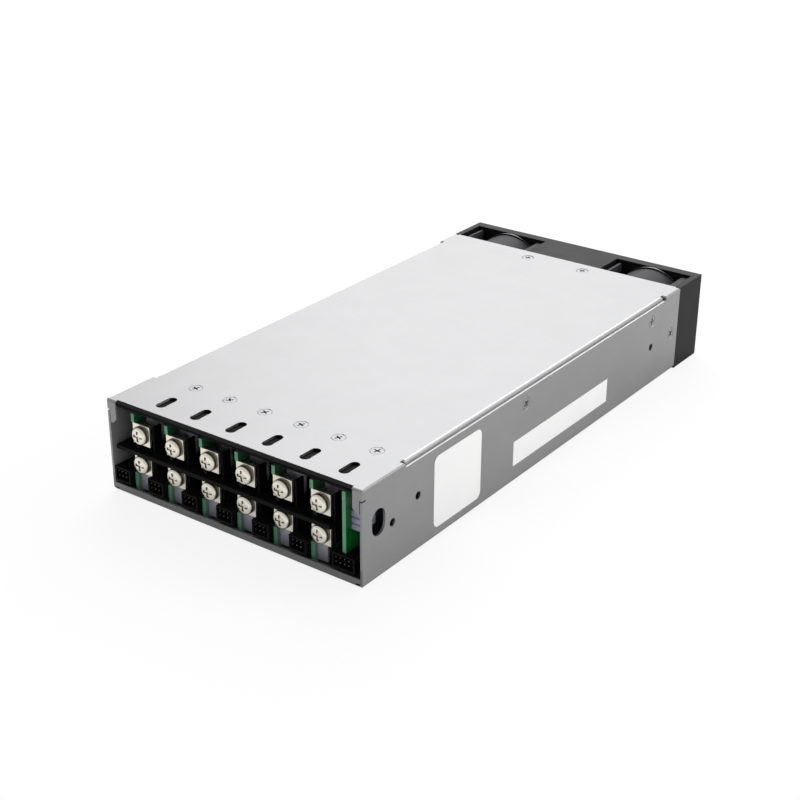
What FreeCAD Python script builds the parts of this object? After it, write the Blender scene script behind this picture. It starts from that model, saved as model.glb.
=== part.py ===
import FreeCAD, Part
import math
import os

V = FreeCAD.Vector

# Driving dimensions in mm: X across the front, Y from front to rear, Z up.
# Round shapes that repeat are prisms with FEW_SIDES sides.
FEW_SIDES = 24
LENGTH = 266.7
HEIGHT = 41.0
SHEET = 1.0
BEND_R = 2.0
FIT = 0.1
BOARD_T = 1.6
MODULES = 6
MODULE_PITCH = 18.2
MODULE_DEPTH = 97.35
FIRST_GAP = 0.2
CONTROL_BAY = 15.6
HOUSING_D = 22.35
HOUSING_WALL = 3.0
REAR_WALL = 5.0

# Top cover and tray.
FLANGE_FRONT = 27.35
FLANGE_REAR = 15.0
FLANGE_H = 13.0
RELIEF = 1.2
WALL_STEP = 1.8
SOFT_EDGE = 0.85
COVER_CREASE = 0.3
LIP_H = 3.9
TAB_W = 4.4
TAB_H = 10.0
TAB_CHAMFER = 1.8
TAB_SHOULDER = 4.4
TAB_SEAM = 0.3
NOTCH_H = 0.6
NOTCH_L = 2.1
LINER_T = 1.2
LINER_INSET = 0.4
SLOT_FROM_FRONT = 11.25
SLOT_LEN = 10.2
SLOT_R = 2.25
SLOT_TAIL_R = 2.1

# Holes in the side walls, measured from the front plane and the base.
MOUNT_FROM_FRONT = 18.15
MOUNT_FROM_REAR = 48.55
MOUNT_Z = 20.0
MOUNT_R = 1.65
PILOT_FROM_FRONT = 34.15
PILOT_Z = 24.1
WINDOW_FROM_FRONT = 9.75
WINDOW_Z = 24.0
WINDOW_W = 8.0
WINDOW_H = 11.0

# Output modules.
SLOT_OFFSET = 2.3
BOARD_OFFSET = 12.1
BOARD_HEADROOM = 2.8
BOARD_FRONT = 3.1
TERM_W = 9.1
TERM_H = 9.0
TERM_DEPTH = 3.6
TERM_T = 1.2
UPPER_SHARE = 27.5 / 41.0
LOWER_SHARE = 14.6 / 41.0
BOSS = 6.4
BOSS_D = 2.6
STRAP_W = 5.0
STRAP_FOOT = 1.0
PAN_R = 3.9
PAN_H = 2.4
SHELF_T = 1.8
SHELF_FRONT = 1.5
SHELF_GAP = 0.3
CARRIER_BACK = 9.6
CARRIER_T = 1.4
BARRIER_T = 0.9
SINK_T = 1.6
SINK_ARM = 4.6
SINK_FRONT = 15.35
SINK_TOP_L = 24.0
SINK_L = 77.0
CORE_FRONT = 41.35
CORE_L = 30.0
CORE_LIFT = 6.0
CORE_LIMB = 4.2

# Signal headers and the control board.
HEADER_W = 8.4
HEADER_H = 6.4
HEADER_D = 9.0
HEADER_SHARE = 4.9 / 41.0
HEADER_FRONT = 0.2
HEADER_WALL = 0.8
HEADER_DEEP = 6.0
PIN_PITCH = 2.0
PIN_T = 0.5
PIN_INSET = 0.8
PIN_COLS = 4
CONTROL_COLS = 5
CONTROL_GAP = 3.7
CONTROL_FRONT = 2.0
CONTROL_L = 14.5
PLUG_W = 8.8
PLUG_H = 7.8
PLUG_D = 4.2
PLUG_WALL = 1.0

# Fans.
FAN_MARGIN = 1.5
WELL_GAP = 1.0
FAN_LEN = 22.05
FAN_REAR_GAP = 0.3
BARREL_OVER = 0.6
BARREL_T = 1.2
WEB_T = 1.3
WEB_WIDE = 3.5
WEB_STOP = 0.3
WEB_INSET = 0.8
TIP_GAP = 0.5
HUB_R = 10.5
HUB_INSET = 2.0
HUB_GAP = 0.6
BLADES = 7
BLADE_T = 1.0
BLADE_CHORD = 13.0
BLADE_PITCH = 42.0
MOTOR_BASE_T = 3.0
MOTOR_BASE_R = 9.4
STRUT_W = 2.0
STRUTS = 2
STRUT_TURN = 45.0
SHAFT_R = 1.5
SHAFT_GAP = 0.05
SHAFT_SEAT = 8.0

# Rear housing and mains inlet.
GRILLE_CORE_R = 6.2
GRILLE_GAP = 4.0
GRILLE_BAR = 1.6
GRILLE_RINGS = 2
SPOKE_W = 1.8
SPOKES = 3
SPOKE_TURN = 30.0
BAY_WALL = 2.5
EAR_T = 2.4
EAR_L = 12.6
EAR_H = 18.0
ROOF_T = 3.4
INLET_GAP = 4.5
INLET_H = 20.0
INLET_RIM = 2.0
INLET_RIM_T = 1.8
INLET_D = 21.0
SOCKET_WALL = 1.5
SOCKET_DEEP = 17.0
SOCKET_CHAMFER = 4.5
BLADE_PIN = (2.0, 11.0, 4.0)
PIN_SHARE = 7.0 / 27.0
EARTH_LIFT = 2.0

# Power stage and labels.
POST_H = 4.0
POST_W = 6.0
DECK_INSET = 5.5
DECK_REAR = 15.0
CAP_L = 50.0
CAP_HEADROOM = 4.2
FIN_FOOT = 3.0
FIN_HEADROOM = 7.8
FIN_SPAN = 16.0
FIN_T = 1.6
FINS = 4
FIN_L = 70.0
BOOST_EDGE = 13.0
BOOST_SIZE = (24.0, 34.0, 25.0)
BOOST_LIMB = 5.5
FILTER_EDGE = 17.0
FILTER_SIZE = (18.0, 28.0, 22.0)
FILTER_LIMB = 4.5
FILTER_REAR = 8.0
LABEL_T = 0.1
LABEL_R = 3.0
SQUARE_FRONT = 44.55
SQUARE_W = 32.0
SQUARE_H = 30.8
SQUARE_Z = 4.7
STRIP_FRONT = 100.65
STRIP_W = 77.0
STRIP_H = 11.0
STRIP_Z = 8.0

# Derived positions.
WIDTH = 2 * SHEET + FIRST_GAP + MODULES * MODULE_PITCH + CONTROL_BAY
XW = WIDTH / 2.0
X_IN = XW - SHEET
Y0 = -LENGTH / 2.0
Y1 = LENGTH / 2.0
Y_HOUSE = Y1 - HOUSING_D
Y_WELL = Y1 - REAR_WALL
Z_UNDER = HEIGHT - SHEET
Z_LINER = Z_UNDER - LINER_T
FLANGE_X = X_IN - FIT
FLANGE_Y0 = Y0 + FLANGE_FRONT
FLANGE_Y1 = Y_HOUSE - FLANGE_REAR
SLOTS = [-X_IN + FIRST_GAP + SLOT_OFFSET + MODULE_PITCH * (i + 1) for i in range(MODULES)]
MODULE_REAR = Y0 + MODULE_DEPTH
BOARD_TOP = Z_LINER - BOARD_HEADROOM
TERM_Z = (HEIGHT * UPPER_SHARE, HEIGHT * LOWER_SHARE)
HEADER_Z = HEIGHT * HEADER_SHARE
SHELF_Z = TERM_Z[1] + PAN_R + SHELF_GAP
CONTROL_X = SLOTS[-1] + CONTROL_GAP
CONTROL_HEADER_W = CONTROL_COLS * PIN_PITCH + PIN_T
FAN_SIZE = HEIGHT - 2 * FAN_MARGIN
FAN_Z = HEIGHT / 2.0
WELL_HALF = FAN_SIZE / 2.0 + WELL_GAP
FAN_X = XW - HOUSING_WALL - WELL_HALF
FAN_Y1 = Y_WELL - FAN_REAR_GAP
FAN_Y0 = FAN_Y1 - FAN_LEN
BARREL_R = FAN_SIZE / 2.0 + BARREL_OVER
WELL_FLOOR = FAN_MARGIN - BARREL_OVER - FAN_REAR_GAP
BORE_R = BARREL_R - BARREL_T
HUB_Y0 = FAN_Y0 + HUB_INSET
HUB_Y1 = FAN_Y1 - MOTOR_BASE_T - HUB_GAP
BAY_HALF = FAN_X - WELL_HALF
INLET_W = 2 * (BAY_HALF - BAY_WALL - INLET_GAP)
DECK_Z = SHEET + POST_H
DECK_TOP = DECK_Z + BOARD_T
DECK_Y0 = MODULE_REAR + BOARD_T
DECK_Y1 = Y_HOUSE - DECK_REAR


def box(x0, x1, y0, y1, z0, z1):
    return Part.makeBox(x1 - x0, y1 - y0, z1 - z0, V(x0, y0, z0))


def rod(r, length, base, axis):
    return Part.makeCylinder(r, length, base, axis)


def plate(points, push):
    return Part.Face(Part.makePolygon(points + [points[0]])).extrude(push)


def fuse(shapes):
    return shapes[0].multiFuse(shapes[1:]).removeSplitter()


def cut(shape, tools):
    return shape.cut(Part.makeCompound(tools))


def mirror_x(shape):
    return shape.mirror(V(0, 0, 0), V(1, 0, 0))


def prism_y(r, x, z, y0, y1):
    """A many-sided prism along Y."""
    turns = [2.0 * math.pi * k / FEW_SIDES for k in range(FEW_SIDES)]
    outline = [V(x + r * math.cos(a), y0, z + r * math.sin(a)) for a in turns]
    return plate(outline, V(0, y1 - y0, 0))


def moved(shape, x, y, z):
    copy = shape.copy()
    copy.translate(V(x, y, z))
    return copy


def turned_y(shape, x, z, angle):
    copy = shape.copy()
    copy.rotate(V(x, 0, z), V(0, 1, 0), angle)
    return copy


def edges_where(shape, test):
    """The edges whose two ends both pass a test on their point."""
    found = []
    for edge in shape.Edges:
        ends = [v.Point for v in edge.Vertexes]
        if len(ends) == 2 and all(test(p) for p in ends):
            found.append(edge)
    return found


def same(a, b):
    return abs(a - b) < 1e-4


def long_edges(shape, x, z):
    return edges_where(shape, lambda p: same(abs(p.x), x) and same(p.z, z))


def cross_edges(shape, y, z):
    return edges_where(shape, lambda p: same(p.y, y) and same(p.z, z))


def channel(x_out, y0, y1, z_web, z_legs, bend):
    """A sheet with both long sides folded from its web to z_legs; bend is the outer radius."""
    x_in = x_out - SHEET
    if z_legs > z_web:
        outer = box(-x_out, x_out, y0, y1, z_web, z_legs)
        inner = box(-x_in, x_in, y0 - 1, y1 + 1, z_web + SHEET, z_legs + 1)
        web_in = z_web + SHEET
    else:
        outer = box(-x_out, x_out, y0, y1, z_legs, z_web)
        inner = box(-x_in, x_in, y0 - 1, y1 + 1, z_legs - 1, z_web - SHEET)
        web_in = z_web - SHEET
    outer = outer.makeFillet(bend, long_edges(outer, x_out, z_web))
    inner = inner.makeFillet(bend - SHEET, long_edges(inner, x_in, web_in))
    return outer.cut(inner)


def cover_slot():
    """Keyhole slot: full width at the front, a narrower tail to the rear."""
    front = SLOT_R - SLOT_LEN / 2.0
    rear = SLOT_LEN / 2.0 - SLOT_TAIL_R
    deep = 2 * SHEET
    wide = rod(SLOT_R, 2 * deep, V(0, front, -deep), V(0, 0, 1))
    tail = rod(SLOT_TAIL_R, 2 * deep, V(0, rear, -deep), V(0, 0, 1))
    web = box(-SLOT_TAIL_R, SLOT_TAIL_R, front, rear, -deep, deep)
    return fuse([wide, tail, web])


def corner_tab():
    """Tab folded down from the cover at its right front corner, stepped to pass inside the wall."""
    x0 = XW - TAB_W
    x1 = X_IN - TAB_SEAM
    z0 = HEIGHT - TAB_H
    z1 = HEIGHT - TAB_SHOULDER
    c = TAB_CHAMFER
    outline = [V(x0, Y0, HEIGHT), V(x0, Y0, z0 + c), V(x0 + c, Y0, z0), V(x1, Y0, z0), V(x1, Y0, z1)]
    outline += [V(XW, Y0, z1), V(XW, Y0, HEIGHT)]
    return plate(outline, V(0, SHEET, 0))


def make_cover():
    """Top cover: flanges inside the side walls, full-width ends, tabs and slots."""
    bend = SHEET + COVER_CREASE
    fold = channel(FLANGE_X, FLANGE_Y0, FLANGE_Y1, HEIGHT, HEIGHT - FLANGE_H, bend)
    x_flat = FLANGE_X - bend
    middle = box(-x_flat, x_flat, Y0, Y_HOUSE, Z_UNDER, HEIGHT)
    ends = []
    for y0, y1 in ((Y0, FLANGE_Y0 - RELIEF), (FLANGE_Y1 + RELIEF, Y_HOUSE)):
        end = box(-XW, XW, y0, y1, Z_UNDER, HEIGHT)
        ends.append(end.makeFillet(SOFT_EDGE, long_edges(end, XW, HEIGHT)))
    tab = corner_tab()
    body = fuse([fold, middle] + ends + [tab, mirror_x(tab)])
    body = body.makeFillet(SOFT_EDGE * 0.9, cross_edges(body, Y0, HEIGHT))
    slot_y = Y0 + SLOT_FROM_FRONT
    return cut(body, [moved(cover_slot(), x, slot_y, HEIGHT) for x in SLOTS])


def side_window():
    """Upright obround through the right side wall."""
    r = WINDOW_W / 2.0
    y = Y0 + WINDOW_FROM_FRONT
    rise = WINDOW_H / 2.0 - r
    x0 = X_IN - SHEET
    x1 = XW + SHEET
    ends = [rod(r, x1 - x0, V(x0, y, WINDOW_Z + s * rise), V(1, 0, 0)) for s in (-1, 1)]
    return fuse([box(x0, x1, y - r, y + r, WINDOW_Z - rise, WINDOW_Z + rise)] + ends)


def front_lip(x_half, run):
    """Lip folded up along the front of the base."""
    lip = box(-x_half, x_half, Y0, Y0 + run, 0, LIP_H)
    lip = lip.makeFillet(BEND_R - FIT, cross_edges(lip, Y0, 0))
    room = box(-x_half - 1, x_half + 1, Y0 + SHEET, Y0 + run + 1, SHEET, LIP_H + 1)
    lip = lip.cut(room.makeFillet(BEND_R - SHEET - FIT, cross_edges(room, Y0 + SHEET, SHEET)))
    x1 = X_IN - FIT
    outline = [V(-x1, Y0, BEND_R), V(-x1, Y0, LIP_H), V(x1, Y0, LIP_H), V(x1, Y0, BEND_R)]
    return fuse([lip, plate(outline, V(0, SHEET, 0))])


def make_chassis():
    """Folded tray: base, side walls stepped for the cover's flanges, front lip, holes."""
    tray = channel(XW, Y0, Y_HOUSE, 0, Z_UNDER, BEND_R)
    x_lip = X_IN - BEND_R
    run = 2 * BEND_R
    tray = tray.cut(box(-x_lip, x_lip, Y0 - 1, Y0 + run, -1, 2 * SHEET))
    body = fuse([tray, front_lip(x_lip, run)])
    step_z = HEIGHT - WALL_STEP
    tools = [box(-XW - 1, XW + 1, FLANGE_Y0 - RELIEF, FLANGE_Y1 + RELIEF, step_z, HEIGHT)]
    notch_z = HEIGHT - TAB_SHOULDER - NOTCH_H
    tools.append(box(-XW - 1, XW + 1, Y0 - 1, Y0 + SHEET + FIT, notch_z, HEIGHT))
    tools.append(box(-XW - 1, XW + 1, Y0 - 1, Y0 + NOTCH_L, notch_z, notch_z + NOTCH_H))
    for y in (Y0 + MOUNT_FROM_FRONT, Y1 - MOUNT_FROM_REAR):
        tools.append(rod(MOUNT_R, WIDTH + 2, V(-XW - 1, y, MOUNT_Z), V(1, 0, 0)))
    tools.append(rod(MOUNT_R, 3 * SHEET, V(X_IN - SHEET, Y0 + PILOT_FROM_FRONT, PILOT_Z), V(1, 0, 0)))
    tools.append(side_window())
    return cut(body, tools)


def make_liner():
    """Insulating sheet under the cover."""
    x = XW - TAB_W - LINER_INSET
    return box(-x, x, Y0 + LINER_INSET, FLANGE_Y1 - BEND_R, Z_LINER, Z_UNDER)


def make_board(x):
    """Module board: upright, cut back behind the terminals and the carrier."""
    left = x - BOARD_OFFSET
    front = Y0 + BOARD_FRONT
    back = Y0 + TERM_DEPTH + TERM_T + FIT
    low = TERM_Z[1] - TERM_H / 2.0 - SHELF_GAP
    high = TERM_Z[0] + TERM_H / 2.0 + SHELF_GAP
    outline = [V(left, front, SHEET), V(left, front, low), V(left, back, low), V(left, back, high)]
    outline += [V(left, front, high), V(left, front, BOARD_TOP)]
    outline += [V(left, MODULE_REAR, BOARD_TOP), V(left, MODULE_REAR, SHEET)]
    return plate(outline, V(BOARD_T, 0, 0))


def make_terminal(x, row):
    """Plated terminal: front plate, threaded boss behind it, leg on the board and, below, a strap down to the floor."""
    left = x - BOARD_OFFSET
    z = TERM_Z[row]
    front = Y0 + TERM_DEPTH
    back = front + TERM_T
    top = min(z + TERM_H / 2.0, SHELF_Z - SHELF_GAP) if row else z + TERM_H / 2.0
    face = box(left, left + TERM_W, front, back, z - TERM_H / 2.0, top)
    mid = left + TERM_W / 2.0
    half = BOSS / 2.0
    leg_x = left + BOARD_T
    boss = box(leg_x, mid + half, back, back + BOSS_D, z - half, z + half)
    leg = box(leg_x, leg_x + TERM_T, front, Y0 + CARRIER_BACK, z - half, z + half)
    parts = [face, boss, leg]
    if row:
        parts.append(box(leg_x, leg_x + STRAP_W, back, back + TERM_T, SHEET + STRAP_FOOT, z))
    return fuse(parts)


def terminal_screw(x, row):
    """Pan head of a terminal screw, seated on the terminal's front plate."""
    mid = x - BOARD_OFFSET + TERM_W / 2.0
    seat = Y0 + TERM_DEPTH
    return prism_y(PAN_R, mid, TERM_Z[row], seat - PAN_H, seat)


def make_carrier(x):
    """Black moulding: shelf between the terminals, barrier beside them, wall behind."""
    left = x - BOARD_OFFSET
    right = left + TERM_W + SHELF_GAP + BARRIER_T
    shelf_left = right - MODULE_PITCH + FIT
    back = Y0 + CARRIER_BACK
    rear = back + CARRIER_T
    half = TERM_H / 2.0
    shelf = box(shelf_left, right, Y0 + SHELF_FRONT, rear, SHELF_Z, SHELF_Z + SHELF_T)
    low = TERM_Z[1] - half + SHELF_T
    barrier = box(right - BARRIER_T, right, Y0 + TERM_DEPTH + TERM_T + FIT, rear, low, TERM_Z[0] + half)
    wall = box(left + BOARD_T + FIT, right, back, rear, TERM_Z[1] - half, BOARD_TOP)
    slot = box(left - FIT, left + BOARD_T + FIT, Y0 + TERM_DEPTH + TERM_T, rear + 1, 0, HEIGHT)
    return cut(fuse([shelf, barrier, wall]), [slot])


def make_sink(x):
    """Module heat sink: upright aluminium plate with a top flange and a foot."""
    right = x + SINK_T / 2.0
    front = Y0 + SINK_FRONT
    outline = [V(x - SINK_ARM, front, SHEET), V(right, front, SHEET), V(right, front, Z_LINER)]
    outline += [V(right - SINK_T, front, Z_LINER), V(right - SINK_T, front, SHEET + SINK_T)]
    outline.append(V(x - SINK_ARM, front, SHEET + SINK_T))
    top = box(x - SINK_ARM, right, front, front + SINK_TOP_L, Z_LINER - SINK_T, Z_LINER)
    return fuse([plate(outline, V(0, SINK_L, 0)), top])


def e_core(x0, x1, y0, length, z0, z1, limb):
    """Ferrite core with two winding windows and a double-width middle limb."""
    body = box(x0, x1, y0, y0 + length, z0, z1)
    mid = y0 + length / 2.0
    front = box(x0 - 1, x1 + 1, y0 + limb, mid - limb, z0 + limb, z1 - limb)
    rear = box(x0 - 1, x1 + 1, mid + limb, y0 + length - limb, z0 + limb, z1 - limb)
    return cut(body, [front, rear])


def make_core(x):
    """Module transformer between the board and the heat sink plate."""
    z0 = SHEET + CORE_LIFT
    x0 = x - BOARD_OFFSET + BOARD_T
    return e_core(x0, x - SINK_T / 2.0, Y0 + CORE_FRONT, CORE_L, z0, BOARD_TOP - CORE_LIFT + SHEET, CORE_LIMB)


def header_body(x, width):
    """Shrouded header open at the front, with its left side at x."""
    front = Y0 + HEADER_FRONT
    w = HEADER_WALL
    top = HEADER_Z + HEADER_H
    body = box(x, x + width, front, front + HEADER_D, HEADER_Z, top)
    return body.cut(box(x + w, x + width - w, front - 1, front + HEADER_DEEP, HEADER_Z + w, top - w))


def header_pins(x, width, cols):
    """Two rows of square pins standing on the floor of a header's shroud."""
    pins = []
    y0 = Y0 + HEADER_FRONT + PIN_INSET
    y1 = Y0 + HEADER_FRONT + HEADER_DEEP
    half = PIN_T / 2.0
    for col in range(cols):
        px = x + width / 2.0 + (col - (cols - 1) / 2.0) * PIN_PITCH
        for row in (-0.5, 0.5):
            pz = HEADER_Z + HEADER_H / 2.0 + row * PIN_PITCH
            pins.append(box(px - half, px + half, y0, y1, pz - half, pz + half))
    return pins


def make_plug():
    """Pale connector on the control board, open towards the side window."""
    x0 = CONTROL_X + BOARD_T
    y = Y0 + WINDOW_FROM_FRONT
    w = PLUG_W / 2.0
    h = PLUG_H / 2.0
    block = box(x0, x0 + PLUG_D, y - w, y + w, WINDOW_Z - h, WINDOW_Z + h)
    w -= PLUG_WALL
    h -= PLUG_WALL
    return block.cut(box(x0 + 2 * PLUG_WALL, XW, y - w, y + w, WINDOW_Z - h, WINDOW_Z + h))


def spokes(x, reach, width, y0, y1, count, first):
    bar = box(x - reach, x + reach, y0, y1, FAN_Z - width / 2, FAN_Z + width / 2)
    return [turned_y(bar, x, FAN_Z, first + 180.0 * k / count) for k in range(count)]


def grille_gaps(x):
    """Ring-shaped air gaps through the rear wall, crossed by spokes that stay."""
    gaps = []
    for k in range(GRILLE_RINGS):
        r = GRILLE_CORE_R + k * (GRILLE_GAP + GRILLE_BAR)
        outer = prism_y(r + GRILLE_GAP, x, FAN_Z, Y_WELL - 1, Y1 + 1)
        gaps.append(outer.cut(prism_y(r, x, FAN_Z, Y_WELL - 1, Y1 + 1)))
    reach = GRILLE_CORE_R + GRILLE_RINGS * (GRILLE_GAP + GRILLE_BAR)
    return cut(Part.makeCompound(gaps), spokes(x, reach, SPOKE_W, Y_WELL - 1, Y1 + 1, SPOKES, SPOKE_TURN))


def make_housing():
    """Moulded rear housing: open fan wells, ring grilles, inlet bay and fixing ears."""
    body = box(-XW, XW, Y_HOUSE, Y1, 0, HEIGHT)
    tools = []
    for x in (-FAN_X, FAN_X):
        tools.append(box(x - WELL_HALF, x + WELL_HALF, Y_HOUSE - EAR_L, Y_WELL, WELL_FLOOR, HEIGHT + 1))
        tools.append(grille_gaps(x))
    bay = BAY_HALF - BAY_WALL
    tools.append(box(-bay, bay, Y_HOUSE - EAR_L - 1, Y_WELL, BAY_WALL, HEIGHT - BAY_WALL - SHEET))
    w = INLET_W / 2.0 + FIT
    h = INLET_H / 2.0 + FIT
    tools.append(box(-w, w, Y_WELL - 1, Y1 + 1, FAN_Z - h, FAN_Z + h))
    w += INLET_RIM
    h += INLET_RIM
    tools.append(box(-w, w, Y1 - INLET_RIM_T, Y1 + 1, FAN_Z - h, FAN_Z + h))
    sleeve = box(-BAY_HALF, BAY_HALF, Y_HOUSE - EAR_L, Y_HOUSE + 1, SHEET, Z_UNDER)
    body = cut(fuse([body, sleeve]), tools)
    ear = box(X_IN - EAR_T, X_IN, Y_HOUSE - EAR_L, Y_HOUSE + 1, FAN_Z - EAR_H / 2, FAN_Z + EAR_H / 2)
    return fuse([body, ear, mirror_x(ear)])


def make_fan_frame(x):
    """Fan frame: front flange, barrel, side webs, motor base on struts, bearing."""
    half = FAN_SIZE / 2.0
    start = Y_HOUSE + FAN_REAR_GAP
    flange = box(x - half, x + half, FAN_Y0, start, FAN_Z - half, FAN_Z + half)
    barrel = rod(BARREL_R, FAN_Y1 - start, V(x, start, FAN_Z), V(0, 1, 0))
    left = x - half + WEB_INSET
    thin = box(left, left + WEB_T, FAN_Y0, FAN_Y1 - WEB_STOP, FAN_Z - half, FAN_Z + half)
    wide = box(x + half - WEB_WIDE, x + half, FAN_Y0, FAN_Y1 - WEB_STOP, FAN_Z - half, FAN_Z + half)
    shell = fuse([flange, barrel, thin, wide])
    shell = shell.cut(rod(BORE_R, FAN_LEN, V(x, FAN_Y0, FAN_Z), V(0, 1, 0)))
    y_base = FAN_Y1 - MOTOR_BASE_T
    base = prism_y(MOTOR_BASE_R, x, FAN_Z, y_base, FAN_Y1)
    arms = spokes(x, BORE_R + BARREL_T / 2.0, STRUT_W, y_base, FAN_Y1, STRUTS, STRUT_TURN)
    bearing = rod(SHAFT_R + SHAFT_GAP, MOTOR_BASE_T - SHEET, V(x, y_base, FAN_Z), V(0, 1, 0))
    return fuse([shell, base] + arms).cut(bearing)


def make_rotor(x):
    """Impeller: hub with a shaft seat and pitched blades that clear the barrel's bore."""
    length = HUB_Y1 - HUB_Y0
    hub = rod(HUB_R, length, V(x, HUB_Y0, FAN_Z), V(0, 1, 0))
    half = BLADE_CHORD / 2.0
    sweep = half * math.sin(math.radians(BLADE_PITCH)) + BLADE_T
    root = math.sqrt(HUB_R ** 2 - sweep ** 2) - BLADE_T
    tip = math.sqrt((BORE_R - TIP_GAP) ** 2 - sweep ** 2)
    blade = box(root, tip, -half, half, -BLADE_T / 2, BLADE_T / 2)
    blade.rotate(V(0, 0, 0), V(1, 0, 0), BLADE_PITCH)
    blade.translate(V(x, HUB_Y0 + length / 2.0, FAN_Z))
    blades = [turned_y(blade, x, FAN_Z, 360.0 * k / BLADES) for k in range(BLADES)]
    seat = rod(SHAFT_R, SHAFT_SEAT, V(x, HUB_Y1 - SHAFT_SEAT, FAN_Z), V(0, 1, 0))
    return fuse([hub] + blades).cut(seat)


def make_shaft(x):
    start = HUB_Y1 - SHAFT_SEAT
    end = FAN_Y1 - SHEET - 3 * FIT
    return rod(SHAFT_R, end - start, V(x, start, FAN_Z), V(0, 1, 0))


def make_inlet():
    """Appliance inlet: rim flush with the rear wall, body in the bay, shaped socket."""
    w = INLET_W / 2.0
    h = INLET_H / 2.0
    rim_w = w + INLET_RIM
    rim_h = h + INLET_RIM
    rim = box(-rim_w, rim_w, Y1 - INLET_RIM_T, Y1, FAN_Z - rim_h, FAN_Z + rim_h)
    body = box(-w, w, Y1 - INLET_D, Y1, FAN_Z - h, FAN_Z + h)
    w -= SOCKET_WALL
    h -= SOCKET_WALL
    c = SOCKET_CHAMFER
    y = Y1 - SOCKET_DEEP
    outline = [V(-w, y, FAN_Z - h), V(w, y, FAN_Z - h), V(w, y, FAN_Z + h - c), V(w - c, y, FAN_Z + h)]
    outline += [V(c - w, y, FAN_Z + h), V(-w, y, FAN_Z + h - c)]
    return fuse([rim, body]).cut(plate(outline, V(0, SOCKET_DEEP + 1, 0)))


def make_inlet_pins():
    """Two pins side by side and the earth pin between them, higher."""
    width, reach, height = BLADE_PIN
    y = Y1 - SOCKET_DEEP
    spread = INLET_W * PIN_SHARE
    places = [(-spread, -EARTH_LIFT), (spread, -EARTH_LIFT), (0.0, EARTH_LIFT)]
    pin = box(-width / 2, width / 2, y, y + reach, FAN_Z - height / 2, FAN_Z + height / 2)
    return [moved(pin, x, 0, z) for x, z in places]


def make_posts():
    """Square posts under the main board."""
    x = X_IN - DECK_INSET - POST_W
    mid = (DECK_Y0 + DECK_Y1) / 2.0
    half = POST_W / 2.0
    rows = (DECK_Y0 + POST_W, mid, DECK_Y1 - POST_W)
    return [box(s * x - half, s * x + half, y - half, y + half, SHEET, DECK_Z) for s in (-1, 1) for y in rows]


def make_capacitor():
    """Bulk capacitor lying along the main board."""
    r = (Z_LINER - DECK_TOP - CAP_HEADROOM) / 2.0
    x = -X_IN + DECK_INSET + r + POST_W
    return rod(r, CAP_L, V(x, DECK_Y0 + 2 * POST_W, DECK_TOP + r), V(0, 1, 0))


def make_heat_sink():
    """Extruded heat sink: a foot with upright fins."""
    top = Z_LINER - FIN_HEADROOM
    half = FIN_SPAN / 2.0
    y0 = DECK_Y0 + 2 * POST_W
    y1 = y0 + FIN_L
    shapes = [box(-half, half, y0, y1, DECK_TOP, DECK_TOP + FIN_FOOT)]
    for k in range(FINS):
        x = -half + k * (FIN_SPAN - FIN_T) / (FINS - 1)
        shapes.append(box(x, x + FIN_T, y0, y1, DECK_TOP, top))
    return fuse(shapes)


def choke(edge, y, size, limb):
    """A wound core standing on the main board, edge away from its right side."""
    width, length, height = size
    x = X_IN - DECK_INSET - edge
    return e_core(x - width, x, y, length, DECK_TOP, DECK_TOP + height, limb)


def make_power_stage():
    """Boards, capacitor, chokes and heat sink behind the modules."""
    x = X_IN - DECK_INSET
    nodes = {}
    nodes["backplane_board"] = [box(-x, x, MODULE_REAR, DECK_Y0, SHEET, BOARD_TOP)]
    nodes["main_board"] = [box(-x, x, DECK_Y0, DECK_Y1, DECK_Z, DECK_TOP)]
    nodes["board_posts"] = make_posts()
    nodes["bulk_capacitor"] = [make_capacitor()]
    nodes["boost_choke"] = [choke(BOOST_EDGE, DECK_Y0 + 2 * POST_W, BOOST_SIZE, BOOST_LIMB)]
    y = DECK_Y1 - FILTER_REAR - FILTER_SIZE[1]
    nodes["line_filter_choke"] = [choke(FILTER_EDGE, y, FILTER_SIZE, FILTER_LIMB)]
    nodes["power_heat_sink"] = [make_heat_sink()]
    return nodes


def make_labels():
    """Two bare labels stuck on the right side wall."""
    y = Y0 + SQUARE_FRONT
    square = box(XW, XW + LABEL_T, y, y + SQUARE_W, SQUARE_Z, SQUARE_Z + SQUARE_H)
    corners = [e for e in square.Edges if same(e.Length, LABEL_T)]
    y = Y0 + STRIP_FRONT
    strip = box(XW, XW + LABEL_T, y, y + STRIP_W, STRIP_Z, STRIP_Z + STRIP_H)
    return {"square_label": [square.makeFillet(LABEL_R, corners)], "strip_label": [strip]}


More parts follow.
